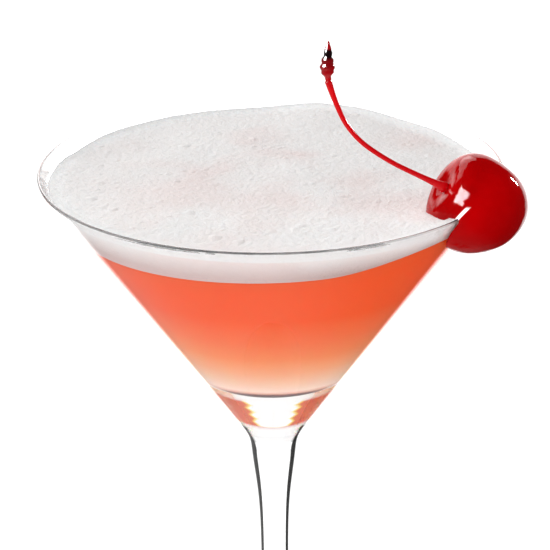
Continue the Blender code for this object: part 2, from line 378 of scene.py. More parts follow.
paintedDrinkReflection = addNode(
    tree,
    "ShaderNodeValToRGB",
    inputs={"Fac": hemmed.outputs["Value"]},
    stops=[
        (0.0, colour("ffffff")),
        (1.0, colour("e06048")),
        (0.554, colour("ffffff")),
        (0.564, colour("ffe070")),
        (0.575, colour("e88828")),
        (0.587, colour("c83a24")),
        (0.700, colour("c83a24")),
        (0.760, colour("e06048")),
    ],
)
coral = addNode(
    tree,
    "ShaderNodeMix",
    {"data_type": "RGBA"},
    {"Factor": tip.outputs["Color"], 6: colour("ffffff"), 7: paintedDrinkReflection.outputs["Color"]},
)
# the glass's colour: clear, with the painted coral reflection and the painted dark edges
tint = addNode(
    tree,
    "ShaderNodeMix",
    {"data_type": "RGBA"},
    {"Factor": paintedDarkEdges.outputs["Value"], 6: coral.outputs[2], 7: colour("020202")},
)
tree.links.new(tint.outputs[2], shader.inputs["Base Color"])
dress(glass, material, "clear_glass", "glass")
print("glass turned")

# The drink, from the ball floor to the underside of the foam

drinkBody = {
    "reach": 0.12 * mm,  # how far it goes into the wall, so that no air shows between them
    "depth": 9.2 * mm,
    "slope": 0.03,  # its top's, up towards the cherry
    "thinFoamFrom": 10 * mm,  # and the foam on it is thinner on that side
    "thinFoamWidth": 18 * mm,
    "thinFoamLift": 3.4 * mm,
    "underFoam": 0.5 * mm,  # it goes on behind the foam's edge
    "roundSteps": 192,
    "floorSteps": 16,
    "wallSteps": 10,
    "topSteps": 6,
}

def drinkLevel(x, y):
    past = max(x - drinkBody["thinFoamFrom"], 0) / drinkBody["thinFoamWidth"]
    lift = drinkBody["thinFoamLift"] * (1 - exp(-(past ** 2)))
    return rimHeight - drinkBody["depth"] + drinkBody["slope"] * x + lift

def ontoWall(place, share, reach, levelAt):
    # keeps a point its share of the way out to the wall while its height follows the level there
    direction = Vector((place.x, place.y, 0)).normalized()
    place = place.copy()
    for repeat in range(4):  # enough for the two to agree
        place.z = levelAt(place.x, place.y)
        out = (innerWall(place.z) + reach) * share
        place.x, place.y = direction.x * out, direction.y * out
    return place

def drinkOutline():
    body = drinkBody
    points = floorArc(body["reach"], body["floorSteps"])
    foot = points[-1][1]
    top = rimHeight - body["depth"]
    for i in range(1, body["wallSteps"] + 1):
        height = foot + (top - foot) * i / body["wallSteps"]
        points.append((innerWall(height) + body["reach"], height))
    edge = points[-1][0]
    for i in range(1, body["topSteps"] + 1):
        points.append((edge * (1 - i / body["topSteps"]), top))
    return points, foot, top

outline, foot, top = drinkOutline()
drink = turnedPiece("drinkBody", outline, drinkBody["roundSteps"])
for vertex in drink.data.vertices:
    x, y, z = vertex.co
    if z > foot:
        follows = ((z - foot) / (top - foot)) ** 3  # how far it follows the tilt of the top
        vertex.co = ontoWall(
            vertex.co,
            hypot(x, y) / (innerWall(z) + drinkBody["reach"]),
            drinkBody["reach"],
            lambda x, y: z + follows * (drinkLevel(x, y) + drinkBody["underFoam"] - top),
        )

# Gin, grenadine, lemon and egg white, shaken: cloudy coral, painted paler where the bowl narrows and light
# would get in, with a painted shadow along its underside
material, tree, shader = newMaterial("shakenCoralDrink")
place = addNode(tree, "ShaderNodeTexCoord").outputs["Object"]
axes = addNode(tree, "ShaderNodeSeparateXYZ", inputs={"Vector": place})
up = addNode(
    tree,
    "ShaderNodeMapRange",
    inputs={
        "Value": axes.outputs["Z"],
        "From Min": rimHeight - 48 * mm,
        "From Max": rimHeight - 5 * mm,
    },
)
# painted light and shade down the drink: its own coral near the top, painted paler lower down for
# backlight, and a painted dark shadow at the bottom edge
paintedLightAndShade = addNode(
    tree,
    "ShaderNodeValToRGB",
    inputs={"Fac": up.outputs["Result"]},
    stops=[
        (0.0, colour("200c08")),
        (1.0, colour("ff6530")),
        (0.018, colour("5a1c14")),
        (0.030, colour("e8b09c")),
        (0.045, colour("ffdccb")),
        (0.12, colour("ffcdaf")),
        (0.19, colour("ffb890")),
        (0.30, colour("ff9e6c")),
        (0.42, colour("ff8858")),
        (0.60, colour("ff6c38")),
    ],
)
behind = addNode(tree, "ShaderNodeMapRange", inputs={"Value": axes.outputs["Y"], "From Max": 1.5 * mm})
low = addNode(
    tree,
    "ShaderNodeMapRange",
    inputs={"Value": up.outputs["Result"], "From Min": 0.14, "From Max": 0.08},
)
clear = addNode(  # painted backlight: the back of the lowest part is painted nearly white, where light would come in behind it
    tree,
    "ShaderNodeMath",
    {"operation": "MULTIPLY"},
    {0: behind.outputs["Result"], 1: low.outputs["Result"]},
)
poured = addNode(
    tree,
    "ShaderNodeMix",
    {"data_type": "RGBA"},
    {"Factor": clear.outputs["Value"], 6: paintedLightAndShade.outputs["Color"], 7: colour("fff4ee")},
)
tree.links.new(poured.outputs[2], shader.inputs["Base Color"])
shader.inputs["Roughness"].default_value = 0.35
shader.inputs["IOR"].default_value = 1.34
shader.inputs["Specular IOR Level"].default_value = 0.1
shader.inputs["Subsurface Weight"].default_value = 0.35
shader.inputs["Subsurface Radius"].default_value = (1.0, 0.35, 0.2)
shader.inputs["Subsurface Scale"].default_value = 4 * mm
dress(drink, material, "coral_drink", "drink")
print("drink poured")

# The foam: a fine grid pressed into a disc, raised into mounds, pits and bubbles, then drawn down the wall

foamLayer = {
    "reach": 0.17 * mm,
    "depth": 2.4 * mm,
    "gridSteps": 290,
    "wallRows": 7,
    "mounds": (  # x, y, height and width of each soft mound or hollow, in millimetres
        (14, 44, 1.3, 13),
        (44, 18, -0.5, 9),
        (-38, 20, -0.6, 12),
        (-20, -12, 0.5, 11),
        (8, 4, 0.7, 14),
        (-6, 26, 0.4, 9),
        (24, -16, -0.4, 8),
        (-30, -28, 0.3, 9),
        (36, -30, 1.7, 8),
    ),
    "swell": 0.25 * mm,  # the slow unevenness between them, and its width
    "swellWidth": 11 * mm,
    "ripple": 0.09 * mm,
    "rippleWidth": 2.2 * mm,
    "creep": 0.35 * mm,  # what stands up against the wall
    "creepWidth": 1.4 * mm,
    "cling": 1.3 * mm,  # and what more of it clings there at the front
    "clingFrom": -12 * mm,
    "clingFull": -24 * mm,
    "seed": 11,
    "smallBubbles": 700,
    "smallSpread": 49 * mm,
    "smallRadii": (0.3, 0.4, 0.4, 0.5, 0.5, 0.7),  # in millimetres, the commoner ones twice
    "bubbles": (  # x, y and radius of the larger ones, in millimetres
        (-20, 23.7, 1.3),
        (-4, 26.9, 1.0),
        (-38.2, -1.4, 1.0),
        (-39.7, -11.2, 1.4),
        (-37.3, -16.8, 1.1),
        (-34.5, -18.2, 1.2),
        (-25.6, -5.9, 1.0),
        (-17.9, -21.4, 1.3),
        (-12, -36.1, 1.4),
        (-7, -38.9, 1.2),
        (-0.1, -33, 1.1),
        (13.1, -32.2, 1.0),
        (15.4, -11.4, 1.1),
        (23.5, -14.1, 0.9),
        (-23.3, 4.1, 0.9),
        (-38.7, 5.4, 0.9),
        (-45.7, 0.5, 0.8),
        (6.4, -29.6, 1.2),
    ),
    "bubbleRise": 0.2,  # of its radius
    "bubbleEnd": 1.7,  # radii out to where a bubble stops shaping the foam
    "moatDepth": 0.1,  # the dip around a bubble, of its rise, and where it is, in radii
    "moatAt": 1.2,
    "moatWidth": 0.25,
    "search": 2.4 * mm,  # as far as the largest bubble reaches
}

def foamLevel(x, y):
    height = rimHeight - foamLayer["depth"]
    for atX, atY, rise, width in foamLayer["mounds"]:
        away = hypot(x / mm - atX, y / mm - atY) / width
        height += rise * mm * exp(-(away ** 2))
    return height

bpy.ops.object.select_all(action="DESELECT")
steps = foamLayer["gridSteps"]
bpy.ops.mesh.primitive_grid_add(x_subdivisions=steps, y_subdivisions=steps, size=2, location=(0, 0, 0))
foam = named("foamLayer")
bpy.ops.object.mode_set(mode="EDIT")
bpy.ops.mesh.select_all(action="SELECT")
bpy.ops.mesh.region_to_loop()
for row in range(foamLayer["wallRows"]):
    bpy.ops.mesh.extrude_edges_move(TRANSFORM_OT_translate={"value": (0, 0, -1)})
bpy.ops.mesh.extrude_edges_move(TRANSFORM_OT_translate={"value": (0, 0, 0)})
bpy.ops.mesh.merge(type="CENTER")
bpy.ops.object.mode_set(mode="OBJECT")

draw = Random(foamLayer["seed"])
bubbles = [(x * mm, y * mm, radius * mm) for x, y, radius in foamLayer["bubbles"]]
for i in range(foamLayer["smallBubbles"]):
    away = foamLayer["smallSpread"] * draw.random() ** 0.5
    turn = 2 * pi * draw.random()
    bubbles.append((away * cos(turn), away * sin(turn), draw.choice(foamLayer["smallRadii"]) * mm))
nearby = kdtree.KDTree(len(bubbles))
for i, (x, y, radius) in enumerate(bubbles):
    nearby.insert((x, y, 0), i)
nearby.balance()

def foamDetail(x, y, edge):
    # what stands above the mounds here; edge is how far it is to the wall
    layer = foamLayer
    spot = Vector((x, y, 0))
    height = layer["swell"] * noise.noise(spot / layer["swellWidth"])
    height += layer["ripple"] * noise.noise(spot / layer["rippleWidth"] + Vector((7, 3, 1)))
    clinging = (y - layer["clingFrom"]) / (layer["clingFull"] - layer["clingFrom"])
    clinging = min(max(clinging, 0), 1)
    height += (layer["creep"] + layer["cling"] * clinging) * exp(-edge / layer["creepWidth"])
    for centre, index, distance in nearby.find_range(spot, layer["search"]):
        radius = bubbles[index][2]
        out = distance / radius
        if out < layer["bubbleEnd"]:
            moat = layer["moatDepth"] * exp(-(((out - layer["moatAt"]) / layer["moatWidth"]) ** 2))
            dome = max(1 - out ** 2, 0) ** 0.5 - moat
            height += layer["bubbleRise"] * radius * dome
    return height

def betweenLevels(part):
    # from the foam's level down to the drink's
    return lambda x, y: foamLevel(x, y) * (1 - part) + drinkLevel(x, y) * part

# The grid becomes the foam's top, the rows below it its side, and the last point its underside
rows = foamLayer["wallRows"]
for vertex in foam.data.vertices:
    u, v, down = vertex.co
    discX = u * (1 - v * v / 2) ** 0.5
    discY = v * (1 - u * u / 2) ** 0.5
    share = hypot(discX, discY)
    flat = Vector((discX, discY, 0)) * innerWall(rimHeight)
    if down > -0.5:
        place = ontoWall(flat, share, foamLayer["reach"], foamLevel)
        place.z += foamDetail(place.x, place.y, (1 - share) * innerWall(place.z))
        if share > 0.9999:  # the outermost ring stays on the wall
            place.xy = place.xy.normalized() * (innerWall(place.z) + foamLayer["reach"])
        vertex.co = place
    elif share > 0.5:
        vertex.co = ontoWall(flat, 1.0, foamLayer["reach"], betweenLevels(-down / rows))
    else:
        vertex.co = (0, 0, rimHeight - drinkBody["depth"])
pick(foam)
bpy.ops.object.mode_set(mode="EDIT")
bpy.ops.mesh.select_all(action="SELECT")
bpy.ops.mesh.normals_make_consistent(inside=False)
bpy.ops.object.mode_set(mode="OBJECT")
bpy.ops.object.shade_smooth_by_angle(angle=radians(50))

# Egg-white foam, dry shaken: matt and close-celled, white with a breath of the drink's pink
material, tree, shader = newMaterial("shakenEggWhiteFoam")
place = addNode(tree, "ShaderNodeTexCoord").outputs["Object"]
axes = addNode(tree, "ShaderNodeSeparateXYZ", inputs={"Vector": place})
cloud = addNode(
    tree,
    "ShaderNodeTexNoise",
    inputs={"Vector": place, "Scale": 1 / (28 * mm), "Detail": 2.0, "Roughness": 0.5},
)
across = addNode(  # it is whiter towards the front
    tree,
    "ShaderNodeMapRange",
    {"interpolation_type": "SMOOTHSTEP"},
    {"Value": axes.outputs["Y"], "From Min": -30 * mm, "From Max": 12 * mm},
)
poured = addNode(
    tree,
    "ShaderNodeMix",
    {"data_type": "RGBA"},
    {"Factor": across.outputs["Result"], 6: colour("fbf9f8"), 7: colour("f0edec")},
)
blush = addNode(
    tree,
    "ShaderNodeMix",
    {"data_type": "RGBA"},
    {"Factor": across.outputs["Result"], 6: colour("f8eeec"), 7: colour("ecdedc")},
)
patches = addNode(
    tree,
    "ShaderNodeMapRange",
    {"interpolation_type": "SMOOTHSTEP"},
    {"Value": cloud.outputs["Fac"], "From Min": 0.4, "From Max": 0.62},
)
leftEdge = addNode(
    tree,
    "ShaderNodeMapRange",
    {"interpolation_type": "SMOOTHSTEP"},
    {"Value": axes.outputs["X"], "From Min": -44 * mm, "From Max": -18 * mm, "To Min": 0.1},
)
pinkness = addNode(
    tree,
    "ShaderNodeMath",
    {"operation": "MULTIPLY"},
    {0: patches.outputs["Result"], 1: leftEdge.outputs["Result"]},
)
tint = addNode(
    tree,
    "ShaderNodeMix",
    {"data_type": "RGBA"},
    {"Factor": pinkness.outputs["Value"], 6: poured.outputs[2], 7: blush.outputs[2]},
)
band = addNode(
    tree,
    "ShaderNodeMapRange",
    inputs={
        "Value": axes.outputs["Z"],
        "From Min": rimHeight - 8 * mm,
        "From Max": rimHeight - 3.2 * mm,
    },
)
rightward = addNode(
    tree,
    "ShaderNodeMapRange",
    {"interpolation_type": "SMOOTHSTEP"},
    {"Value": axes.outputs["X"], "From Min": -5 * mm, "From Max": 40 * mm},
)
paintedSideShade = addNode(  # lower down, where it meets the drink, it's a pinker grey, with painted shade darkening it most on the cherry's side
    tree,
    "ShaderNodeMix",
    {"data_type": "RGBA"},
    {"Factor": rightward.outputs["Result"], 6: colour("ddcfcd"), 7: colour("a8938f")},
)
shade = addNode(
    tree,
    "ShaderNodeMix",
    {"data_type": "RGBA"},
    {"Factor": band.outputs["Result"], 6: paintedSideShade.outputs[2], 7: tint.outputs[2]},
)
level = addNode(tree, "ShaderNodeVectorMath", {"operation": "MULTIPLY"}, {0: place, 1: (1, 1, 0)})
fromAxis = addNode(tree, "ShaderNodeVectorMath", {"operation": "LENGTH"}, {0: level.outputs["Vector"]})
wallward = addNode(  # the same all the way up the wall, and less away from it
    tree,
    "ShaderNodeMath",
    {"operation": "MULTIPLY_ADD"},
    {0: axes.outputs["Z"], 1: -innerSlope, 2: fromAxis.outputs["Value"]},
)
atWall = addNode(
    tree,
    "ShaderNodeMapRange",
    {"interpolation_type": "SMOOTHSTEP"},
    {
        "Value": wallward.outputs["Value"],
        "From Min": innerWall(0) - 5 * mm,
        "From Max": innerWall(0) - 0.5 * mm,
    },
)
high = addNode(
    tree,
    "ShaderNodeMapRange",
    {"interpolation_type": "SMOOTHSTEP"},
    {
        "Value": axes.outputs["Z"],
        "From Min": rimHeight - 3.1 * mm,
        "From Max": rimHeight - 2.5 * mm,
    },
)
clinging = addNode(
    tree,
    "ShaderNodeMath",
    {"operation": "MULTIPLY"},
    {0: atWall.outputs["Result"], 1: high.outputs["Result"]},
)
paintedWallHighlight = addNode(  # painted highlight: the froth against the glass just under the rim is painted white
    tree,
    "ShaderNodeMix",
    {"data_type": "RGBA"},
    {"Factor": clinging.outputs["Value"], 6: shade.outputs[2], 7: colour("ffffff")},
)
tree.links.new(paintedWallHighlight.outputs[2], shader.inputs["Base Color"])
grain = addNode(
    tree,
    "ShaderNodeTexNoise",
    inputs={"Vector": place, "Scale": 1 / (1.3 * mm), "Detail": 4.0, "Roughness": 0.6},
)
bump = addNode(
    tree,
    "ShaderNodeBump",
    inputs={"Height": grain.outputs["Fac"], "Strength": 0.85, "Distance": 0.6 * mm},
)
tree.links.new(bump.outputs["Normal"], shader.inputs["Normal"])
shader.inputs["Roughness"].default_value = 0.6
shader.inputs["Specular IOR Level"].default_value = 0.25
shader.inputs["Subsurface Weight"].default_value = 0.15
shader.inputs["Subsurface Radius"].default_value = (1.0, 0.8, 0.7)
shader.inputs["Subsurface Scale"].default_value = 1.2 * mm
dress(foam, material, "egg_white_foam", "foam")
print("foam shaken,", len(foam.data.polygons), "faces")

# The cherry: a ball pressed in at its stem and slit so that it sits on the rim

cherryFlesh = {
    "segments": 96,
    "rings": 64,
    "radius": 11.5 * mm,
    "squash": 0.94,
    "azimuth": radians(-28.5),
    "out": 51 * mm,
    "below": 0.1 * mm,
    "axis": Vector((-0.83, -0.17, 0.53)).normalized(),
    "dimpleDepth": 2.6 * mm,
    "dimpleWidth": radians(26),
    "shoulder": 0.05,
    "lumps": (  # direction, height as a share of the radius, and width in degrees
        ((0.57, 0.30, 0.76), -0.11, 26),
        ((0.98, 0.06, -0.16), 0.035, 20),
        ((0.10, -0.36, -0.93), -0.06, 34),
        ((-0.90, -0.10, -0.43), 0.03, 24),
    ),
    "slitAbove": 3.6 * mm,
    "slitShoulder": -0.3 * mm,  # where its top starts to close to an edge
    "slitNeck": 0.4 * mm,  # and the height and half width that it narrows to first
    "slitNeckWidth": 0.26 * mm,
    "slitBelow": 18 * mm,
    "slitLipAt": (3 * mm, 1.5 * mm),  # where its inner side bends to follow the thinner lip
    "slitRoom": 0.25 * mm,
    "slitSteps": 256,
    "voxel": 0.25 * mm,
    "softening": 0.5,  # how much each softening smooths the cut's edges, and how many there are
    "softenings": 6,
}
cherryCentre = Vector((
    cherryFlesh["out"] * cos(cherryFlesh["azimuth"]),
    cherryFlesh["out"] * sin(cherryFlesh["azimuth"]),
    rimHeight - cherryFlesh["below"],
))

def pressedRadius(angle):
    # the ball's radius at this angle from its stem: a shoulder round a dimple
    dimple = cherryFlesh["dimpleDepth"] * exp(-((angle / cherryFlesh["dimpleWidth"]) ** 2))
    return cherryFlesh["radius"] * (1 + cherryFlesh["shoulder"] * sin(angle) * cos(angle)) - dimple

bpy.ops.object.select_all(action="DESELECT")
bpy.ops.mesh.primitive_uv_sphere_add(
    segments=cherryFlesh["segments"],
    ring_count=cherryFlesh["rings"],
    radius=cherryFlesh["radius"],
    location=(0, 0, 0),
)
cherry = named("cherryFlesh")
for vertex in cherry.data.vertices:
    out = vertex.co.normalized()
    radius = pressedRadius(out.angle(Vector((0, 0, 1))))
    vertex.co = Vector((out.x, out.y, out.z * cherryFlesh["squash"])) * radius
cherry.rotation_mode = "QUATERNION"
cherry.rotation_quaternion = cherryFlesh["axis"].to_track_quat("Z", "Y")
cherry.location = cherryCentre
settle(cherry)
for vertex in cherry.data.vertices:
    out = vertex.co - cherryCentre
    for toward, rise, width in cherryFlesh["lumps"]:
        away = out.angle(Vector(toward)) / radians(width)
        vertex.co += out * rise * exp(-(away ** 2))

room = cherryFlesh["slitRoom"] / cos(wall["halfAngle"])
neckWidth = cherryFlesh["slitNeckWidth"]
slitTop = rimHeight + cherryFlesh["slitAbove"]
slitNeck = rimHeight + cherryFlesh["slitNeck"]
slitShoulder = rimHeight + cherryFlesh["slitShoulder"]
slitBottom = rimHeight - cherryFlesh["slitBelow"]
slitOutline = [
    (midWall(slitTop), slitTop),
    (midWall(slitNeck) + neckWidth, slitNeck),
    (outerWall(slitShoulder) + room, slitShoulder),
    (outerWall(slitBottom) + room, slitBottom),
    (innerWall(slitBottom) - room, slitBottom),
]
for down in cherryFlesh["slitLipAt"]:
    slitOutline.append((innerWall(rimHeight - down) - room, rimHeight - down))
slitOutline += [
    (innerWall(slitShoulder) - room, slitShoulder),
    (midWall(slitNeck) - neckWidth, slitNeck),
    (midWall(slitTop), slitTop),
]
slit = turnedPiece("cherrySlit", slitOutline, cherryFlesh["slitSteps"])
cut = cherry.modifiers.new("slit", "BOOLEAN")
cut.operation = "DIFFERENCE"
cut.solver = "EXACT"
cut.object = slit
skin = cherry.modifiers.new("skin", "REMESH")
skin.mode = "VOXEL"
skin.voxel_size = cherryFlesh["voxel"]
soften = cherry.modifiers.new("soften", "SMOOTH")
soften.factor = cherryFlesh["softening"]
soften.iterations = cherryFlesh["softenings"]
applyAll(cherry)
bpy.data.objects.remove(slit, do_unlink=True)
pick(cherry)
bpy.ops.object.shade_smooth()

# Maraschino cherry, candied in red syrup: clear deep red under a wet, sticky gloss
material, tree, shader = newMaterial("candiedCherryFlesh")
place = addNode(tree, "ShaderNodeTexCoord").outputs["Object"]
blotch = addNode(
    tree,
    "ShaderNodeTexNoise",
    inputs={"Vector": place, "Scale": 1 / (6 * mm), "Detail": 3.0},
)
red = addNode(
    tree,
    "ShaderNodeValToRGB",
    inputs={"Fac": blotch.outputs["Fac"]},
    stops=[(0.3, colour("a80002")), (0.7, colour("b80003"))],
)
around = addNode(tree, "ShaderNodeVectorMath", {"operation": "SUBTRACT"}, {0: place, 1: cherryCentre})
lower = addNode(
    tree,
    "ShaderNodeVectorMath",
    {"operation": "DOT_PRODUCT"},
    {0: around.outputs["Vector"], 1: (0.45, 0.0, -0.89)},
)
paintedUnderShade = addNode(  # painted shade: the underside, away from the light, is painted a deeper red
    tree,
    "ShaderNodeMapRange",
    {"interpolation_type": "SMOOTHSTEP"},
    {"Value": lower.outputs["Value"], "From Min": -7 * mm, "From Max": 10 * mm},
)
flesh = addNode(
    tree,
    "ShaderNodeMix",
    {"data_type": "RGBA"},
    {"Factor": paintedUnderShade.outputs["Result"], 6: red.outputs["Color"], 7: colour("680001")},
)
axes = addNode(tree, "ShaderNodeSeparateXYZ", inputs={"Vector": place})
level = addNode(tree, "ShaderNodeVectorMath", {"operation": "MULTIPLY"}, {0: place, 1: (1, 1, 0)})
fromAxis = addNode(tree, "ShaderNodeVectorMath", {"operation": "LENGTH"}, {0: level.outputs["Vector"]})
wallward = addNode(  # the same all the way up the glass's wall, and more outside it
    tree,
    "ShaderNodeMath",
    {"operation": "MULTIPLY_ADD"},
    {0: axes.outputs["Z"], 1: -tan(wall["halfAngle"]), 2: fromAxis.outputs["Value"]},
)
inWall = midWall(rimHeight) - rimHeight * tan(wall["halfAngle"])  # what it is in the wall's middle
offWall = addNode(
    tree,
    "ShaderNodeMath",
    {"operation": "SUBTRACT"},
    {0: wallward.outputs["Value"], 1: inWall},
)
fromWall = addNode(tree, "ShaderNodeMath", {"operation": "ABSOLUTE"}, {0: offWall.outputs["Value"]})
cutFace = addNode(
    tree,
    "ShaderNodeMapRange",
    inputs={
        "Value": fromWall.outputs["Value"],
        "From Min": 0.55 * mm,
        "From Max": 0.35 * mm,
    },
)
underEdge = addNode(
    tree,
    "ShaderNodeMapRange",
    inputs={
        "Value": axes.outputs["Z"],
        "From Min": rimHeight + 3.5 * mm,
        "From Max": rimHeight + 2.9 * mm,
    },
)
paintedGlowMask = addNode(
    tree,
    "ShaderNodeMath",
    {"operation": "MULTIPLY"},
    {0: cutFace.outputs["Result"], 1: underEdge.outputs["Result"]},
)
# the flesh, with the cut's faces painted pale as a highlight from the rim's glass
skinColour = addNode(
    tree,
    "ShaderNodeMix",
    {"data_type": "RGBA"},
    {"Factor": paintedGlowMask.outputs["Value"], 6: flesh.outputs[2], 7: colour("fff2f2")},
)
tree.links.new(skinColour.outputs[2], shader.inputs["Base Color"])
paintedCutGlow = addNode(  # painted glow: the cut's faces give off light, standing in for the light that the rim's glass brings into the cut
    tree,
    "ShaderNodeMix",
    {"data_type": "RGBA"},
    {"Factor": paintedGlowMask.outputs["Value"], 6: colour("000000"), 7: colour("b8a0a0")},
)
tree.links.new(paintedCutGlow.outputs[2], shader.inputs["Emission Color"])
shader.inputs["Emission Strength"].default_value = 1.0
wrinkle = addNode(
    tree,
    "ShaderNodeTexNoise",
    inputs={"Vector": place, "Scale": 1 / (2.4 * mm), "Detail": 1.0},
)
sticky = addNode(  # syrup over wrinkled skin breaks up the highlights
    tree,
    "ShaderNodeBump",
    inputs={"Height": wrinkle.outputs["Fac"], "Strength": 0.5, "Distance": 0.25 * mm},
)
tree.links.new(sticky.outputs["Normal"], shader.inputs["Normal"])
shader.inputs["Roughness"].default_value = 0.07
shader.inputs["IOR"].default_value = 1.45
shader.inputs["Specular IOR Level"].default_value = 0.1
shader.inputs["Subsurface Weight"].default_value = 0.2
shader.inputs["Subsurface Radius"].default_value = (1.0, 0.05, 0.03)
shader.inputs["Subsurface Scale"].default_value = 2 * mm
dress(cherry, material, "candied_cherry", "cherry")
print("cherry slit,", len(cherry.data.polygons), "faces")

# The cherry's stem: a wire that flares into the dimple and ends in a ridged knob

cherryStem = {
    "route": (  # from the rim's centre in millimetres, from the cherry to the tip
        (31.4, -24.6, 7.3),
        (27.4, -23.8, 9.1),
        (23.8, -23.1, 11.1),
        (20.4, -22.7, 13.5),
        (17.9, -22.4, 16.0),
        (16.0, -22.1, 18.7),
        (14.5, -21.9, 22.0),
        (13.4, -21.6, 24.9),
        (12.6, -21.3, 27.8),
        (12.4, -20.8, 31.5),
        (12.7, -20.3, 36.3),
    ),
    "smoothing": 10,
    "seat": 0.5 * mm,
    "wire": 0.55 * mm,  # its radius
    "baseFlare": 0.75 * mm,
    "baseFade": 2.2 * mm,
    "neckFlare": 0.6,  # of the wire's radius, where it meets the knob
    "neckFade": 3,  # higher is shorter
    "knobLength": 8.6 * mm,
    "knobRadius": 1.7 * mm,
    "knobStart": 0.18,  # how round it starts
    "knobRounding": 0.5,  # this and the next four are shares of the knob's length
    "taperFrom": 0.3,
    "taperLength": 0.4,
    "nibFrom": 0.7,
    "nibLength": 0.34,
    "nibRadius": 0.95 * mm,
    "taper": 0.5,  # what the knob loses of its radius by the nib
    "ridges": 4,
    "ridgeHeight": 0.16 * mm,
    "driedFrom": 27 * mm,  # above the rim, and the width and height of its roughness
    "driedGrain": 0.9 * mm,
    "driedHeight": 0.14 * mm,
    "driedSeed": 5,
}

def smoothRoute(knots, steps):
    # a curve that passes through all its knots
    ends = [knots[0] * 2 - knots[1], *knots, knots[-1] * 2 - knots[-2]]
    route = [knots[0]]
    for before, here, there, beyond in zip(ends, ends[1:], ends[2:], ends[3:]):
        for i in range(1, steps + 1):
            share = i / steps
            bend = (before * 2 - here * 5 + there * 4 - beyond) * (share * share / 2)
            twist = (here * 3 - before - there * 3 + beyond) * (share ** 3 / 2)
            route.append(here + (there - before) * (share / 2) + bend + twist)
    return route

def stemRadius(along, length):
    size = cherryStem
    wire = size["wire"] + size["baseFlare"] * exp(-along / size["baseFade"])
    intoKnob = (along - (length - size["knobLength"])) / size["knobLength"]
    if intoKnob < 0:
        return wire + size["wire"] * size["neckFlare"] * exp(intoKnob * size["neckFade"])
    if intoKnob > size["nibFrom"]:
        return size["nibRadius"] * (1 - (intoKnob - size["nibFrom"]) / size["nibLength"])
    roundness = min(intoKnob / size["knobRounding"] + size["knobStart"], 1)
    taper = 1 - size["taper"] * max(intoKnob - size["taperFrom"], 0) / size["taperLength"]
    ridge = size["ridgeHeight"] * cos(2 * pi * size["ridges"] * intoKnob / size["nibFrom"])
    return size["knobRadius"] * sin(pi * roundness / 2) * taper + ridge

rimCentre = Vector((0, 0, rimHeight))
dimpleFloor = (cherryFlesh["radius"] - cherryFlesh["dimpleDepth"]) * cherryFlesh["squash"]
start = cherryCentre + cherryFlesh["axis"] * (dimpleFloor + cherryStem["seat"])
knots = [start, start + cherryFlesh["axis"] * mm]
knots += [rimCentre + Vector(point) * mm for point in cherryStem["route"]]
route = smoothRoute(knots, cherryStem["smoothing"])
lengths = [0.0]
for before, after in zip(route, route[1:]):
    lengths.append(lengths[-1] + (after - before).length)
bpy.ops.object.select_all(action="DESELECT")
bpy.ops.curve.primitive_nurbs_path_add(location=(0, 0, 0))
stem = named("cherryStem")
wire = stem.data
wire.splines.clear()
wire.bevel_depth = 1  # so that a point's radius is the stem's there
wire.bevel_resolution = 8
wire.use_fill_caps = True
spline = wire.splines.new("POLY")
spline.points.add(len(route) - 1)
for point, spot, along in zip(spline.points, route, lengths):
    point.co = (*spot, 1)
    point.radius = stemRadius(along, lengths[-1])
pick(stem)
bpy.ops.object.convert(target="MESH")
stem = bpy.context.object
bpy.ops.object.mode_set(mode="EDIT")
bpy.ops.mesh.select_all(action="SELECT")
bpy.ops.mesh.remove_doubles(threshold=weld)
bpy.ops.mesh.normals_make_consistent(inside=False)
bpy.ops.object.mode_set(mode="OBJECT")
noise.seed_set(cherryStem["driedSeed"])
for vertex in stem.data.vertices:
    if vertex.co.z > rimHeight + cherryStem["driedFrom"]:
        rough = noise.noise_vector(vertex.co / cherryStem["driedGrain"])
        vertex.co += rough * cherryStem["driedHeight"]
bpy.ops.object.shade_smooth()

# Cherry stalk dyed in the syrup: waxy dark red, nearly black where the knob has dried
material, tree, shader = newMaterial("dyedCherryStalk")
place = addNode(tree, "ShaderNodeTexCoord").outputs["Object"]
axes = addNode(tree, "ShaderNodeSeparateXYZ", inputs={"Vector": place})
height = addNode(
    tree,
    "ShaderNodeMapRange",
    inputs={
        "Value": axes.outputs["Z"],
        "From Min": rimHeight + 26 * mm,
        "From Max": rimHeight + 37 * mm,
    },
)
bark = addNode(
    tree,
    "ShaderNodeValToRGB",
    inputs={"Fac": height.outputs["Result"]},
    stops=[
        (0.0, colour("cc000a")),
        (1.0, colour("a00c14")),
        (0.25, colour("9c0008")),
        (0.58, colour("70040a")),
        (0.63, colour("120406")),
        (0.76, colour("120406")),
        (0.80, colour("9c0c14")),
    ],
)
tree.links.new(bark.outputs["Color"], shader.inputs["Base Color"])
shader.inputs["Roughness"].default_value = 0.15
shader.inputs["Specular IOR Level"].default_value = 0.3
dress(stem, material, "candied_stem", "cherry_stem")
print("stem drawn")

# Floor, light and camera

studio = {
    "floorSize": 8.0,
    "floorGlow": 1.55,  # what lights the glass from below, like a light table
    "floorSeen": 0.7,  # and what the eye sees of it, so that a shadow still shows
    "roomSeen": 1.0,  # the room as the eye sees it, and through the glass
    "roomThrough": 1.1,
    "backSize": (0.9, 0.5),
    "backPower": 5,
    "backPlace": Vector((-0.45, 0.85, 0.75)),
    "windowSize": (0.8, 0.5),
    "windowPower": 120,
    "windowPlace": Vector((-0.837, -0.378, 0.747)),
    "glintSize": (0.12, 0.2),
    "glintPower": 12,
    "glintPlace": Vector((0.79, 0.604, 0.393)),
}

